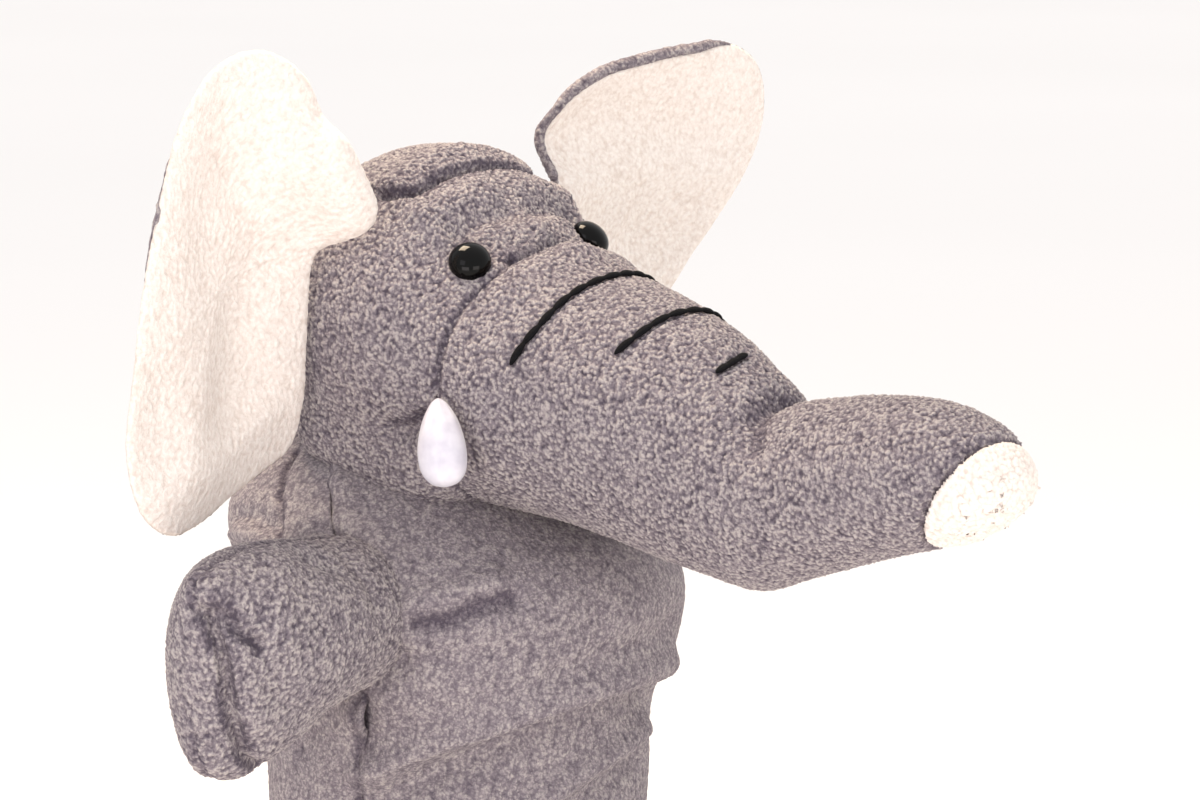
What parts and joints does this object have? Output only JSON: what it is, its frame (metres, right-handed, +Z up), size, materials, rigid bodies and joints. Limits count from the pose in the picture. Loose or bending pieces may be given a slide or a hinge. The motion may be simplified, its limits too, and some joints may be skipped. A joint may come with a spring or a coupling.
{
  "type": "elephant hand puppet",
  "caption": "Plush elephant glove puppet: fleece body open at the hem for a hand, finger mitts for arms, big ears and a jointed stuffed trunk",
  "frame": {"origin": "middle of the hand opening, in the plane of the hem", "axes": "+Z up through the glove to the head, -Y the way the face and the trunk point, +X the puppet's own left"},
  "size_m": [0.2711, 0.261, 0.295],
  "materials": {
    "grey_fleece": "short curly-pile polyester fleece, violet grey",
    "cream_fleece": "short-pile polyester fleece, cream",
    "fibre_filling": "loose polyester fibre filling",
    "white_satin": "white polyester satin over filling",
    "black_thread": "black embroidery thread",
    "eye_plastic": "polished black moulded acrylic",
    "washer_plastic": "natural moulded polypropylene"
  },
  "bodies": {
    "glove": {"hem_band": "grey_fleece", "glove_front": "grey_fleece", "glove_back": "grey_fleece"},
    "right_arm": {"right_arm_front": "grey_fleece", "right_arm_back": "grey_fleece", "right_shoulder_gusset": "grey_fleece"},
    "left_arm": {"left_arm_front": "grey_fleece", "left_arm_back": "grey_fleece", "left_shoulder_gusset": "grey_fleece"},
    "neck": {"neck_tube": "grey_fleece", "neck_gusset": "grey_fleece"},
    "head": {"head_right_side": "grey_fleece", "head_left_side": "grey_fleece", "head_crown": "grey_fleece", "head_chin": "grey_fleece", "snout_panel": "grey_fleece", "head_stuffing": "fibre_filling", "finger_pocket": "grey_fleece", "right_eye": "eye_plastic", "left_eye": "eye_plastic", "right_eye_washer": "washer_plastic", "left_eye_washer": "washer_plastic", "right_tusk": "white_satin", "left_tusk": "white_satin", "trunk_crease_stitch_1": "black_thread"},
    "right_ear": {"right_ear_front": "cream_fleece", "right_ear_back": "grey_fleece"},
    "left_ear": {"left_ear_front": "cream_fleece", "left_ear_back": "grey_fleece"},
    "trunk_base": {"trunk_base_panel": "grey_fleece", "trunk_base_stuffing": "fibre_filling", "trunk_root_fold": "grey_fleece", "trunk_crease_stitch_2": "black_thread", "trunk_crease_stitch_3": "black_thread"},
    "trunk_end": {"trunk_end_panel": "grey_fleece", "trunk_end_stuffing": "fibre_filling", "trunk_tip_patch": "cream_fleece", "trunk_bend_fold": "grey_fleece"}
  },
  "joints": [
    {"name": "neck_turn", "type": "hinge", "parent": "glove", "child": "neck", "pos_m": [0, 0, 0.157], "axis": [0, 0, 1], "range_deg": [-20, 20], "stiffness_Nm_per_rad": 0.4},
    {"name": "neck_nod", "type": "hinge", "parent": "neck", "child": "head", "pos_m": [0, 0, 0.16], "axis": [1, 0, 0], "range_deg": [-16, 8], "stiffness_Nm_per_rad": 3, "deforming": ["neck_gusset"]},
    {"name": "right_arm_swing", "type": "hinge", "parent": "glove", "child": "right_arm", "pos_m": [-0.064, -0.013, 0.137], "axis": [0, 0, 1], "range_deg": [-20, 18], "stiffness_Nm_per_rad": 0.05, "deforming": ["right_shoulder_gusset"]},
    {"name": "left_arm_swing", "type": "hinge", "parent": "glove", "child": "left_arm", "pos_m": [0.064, -0.004, 0.135], "axis": [0, 0, -1], "range_deg": [-5, 50], "stiffness_Nm_per_rad": 0.05, "deforming": ["left_shoulder_gusset"]},
    {"name": "right_ear_flap", "type": "hinge", "parent": "head", "child": "right_ear", "pos_m": [-0.055, 0.01, 0.216], "axis": [0, 0, 1], "range_deg": [-15, 30], "stiffness_Nm_per_rad": 0.05},
    {"name": "left_ear_flap", "type": "hinge", "parent": "head", "child": "left_ear", "pos_m": [0.055, 0.011, 0.216], "axis": [0, 0, -1], "range_deg": [-15, 30], "stiffness_Nm_per_rad": 0.05},
    {"name": "trunk_lift", "type": "hinge", "parent": "head", "child": "trunk_base", "pos_m": [0, -0.07, 0.196], "axis": [-1, 0, 0], "range_deg": [-20, 25], "stiffness_Nm_per_rad": 1.5, "deforming": ["trunk_root_fold"]},
    {"name": "trunk_curl", "type": "hinge", "parent": "trunk_base", "child": "trunk_end", "pos_m": [0, -0.1195, 0.18], "axis": [-1, 0, 0], "range_deg": [-30, 30], "stiffness_Nm_per_rad": 0.5, "deforming": ["trunk_bend_fold"]}
  ]
}
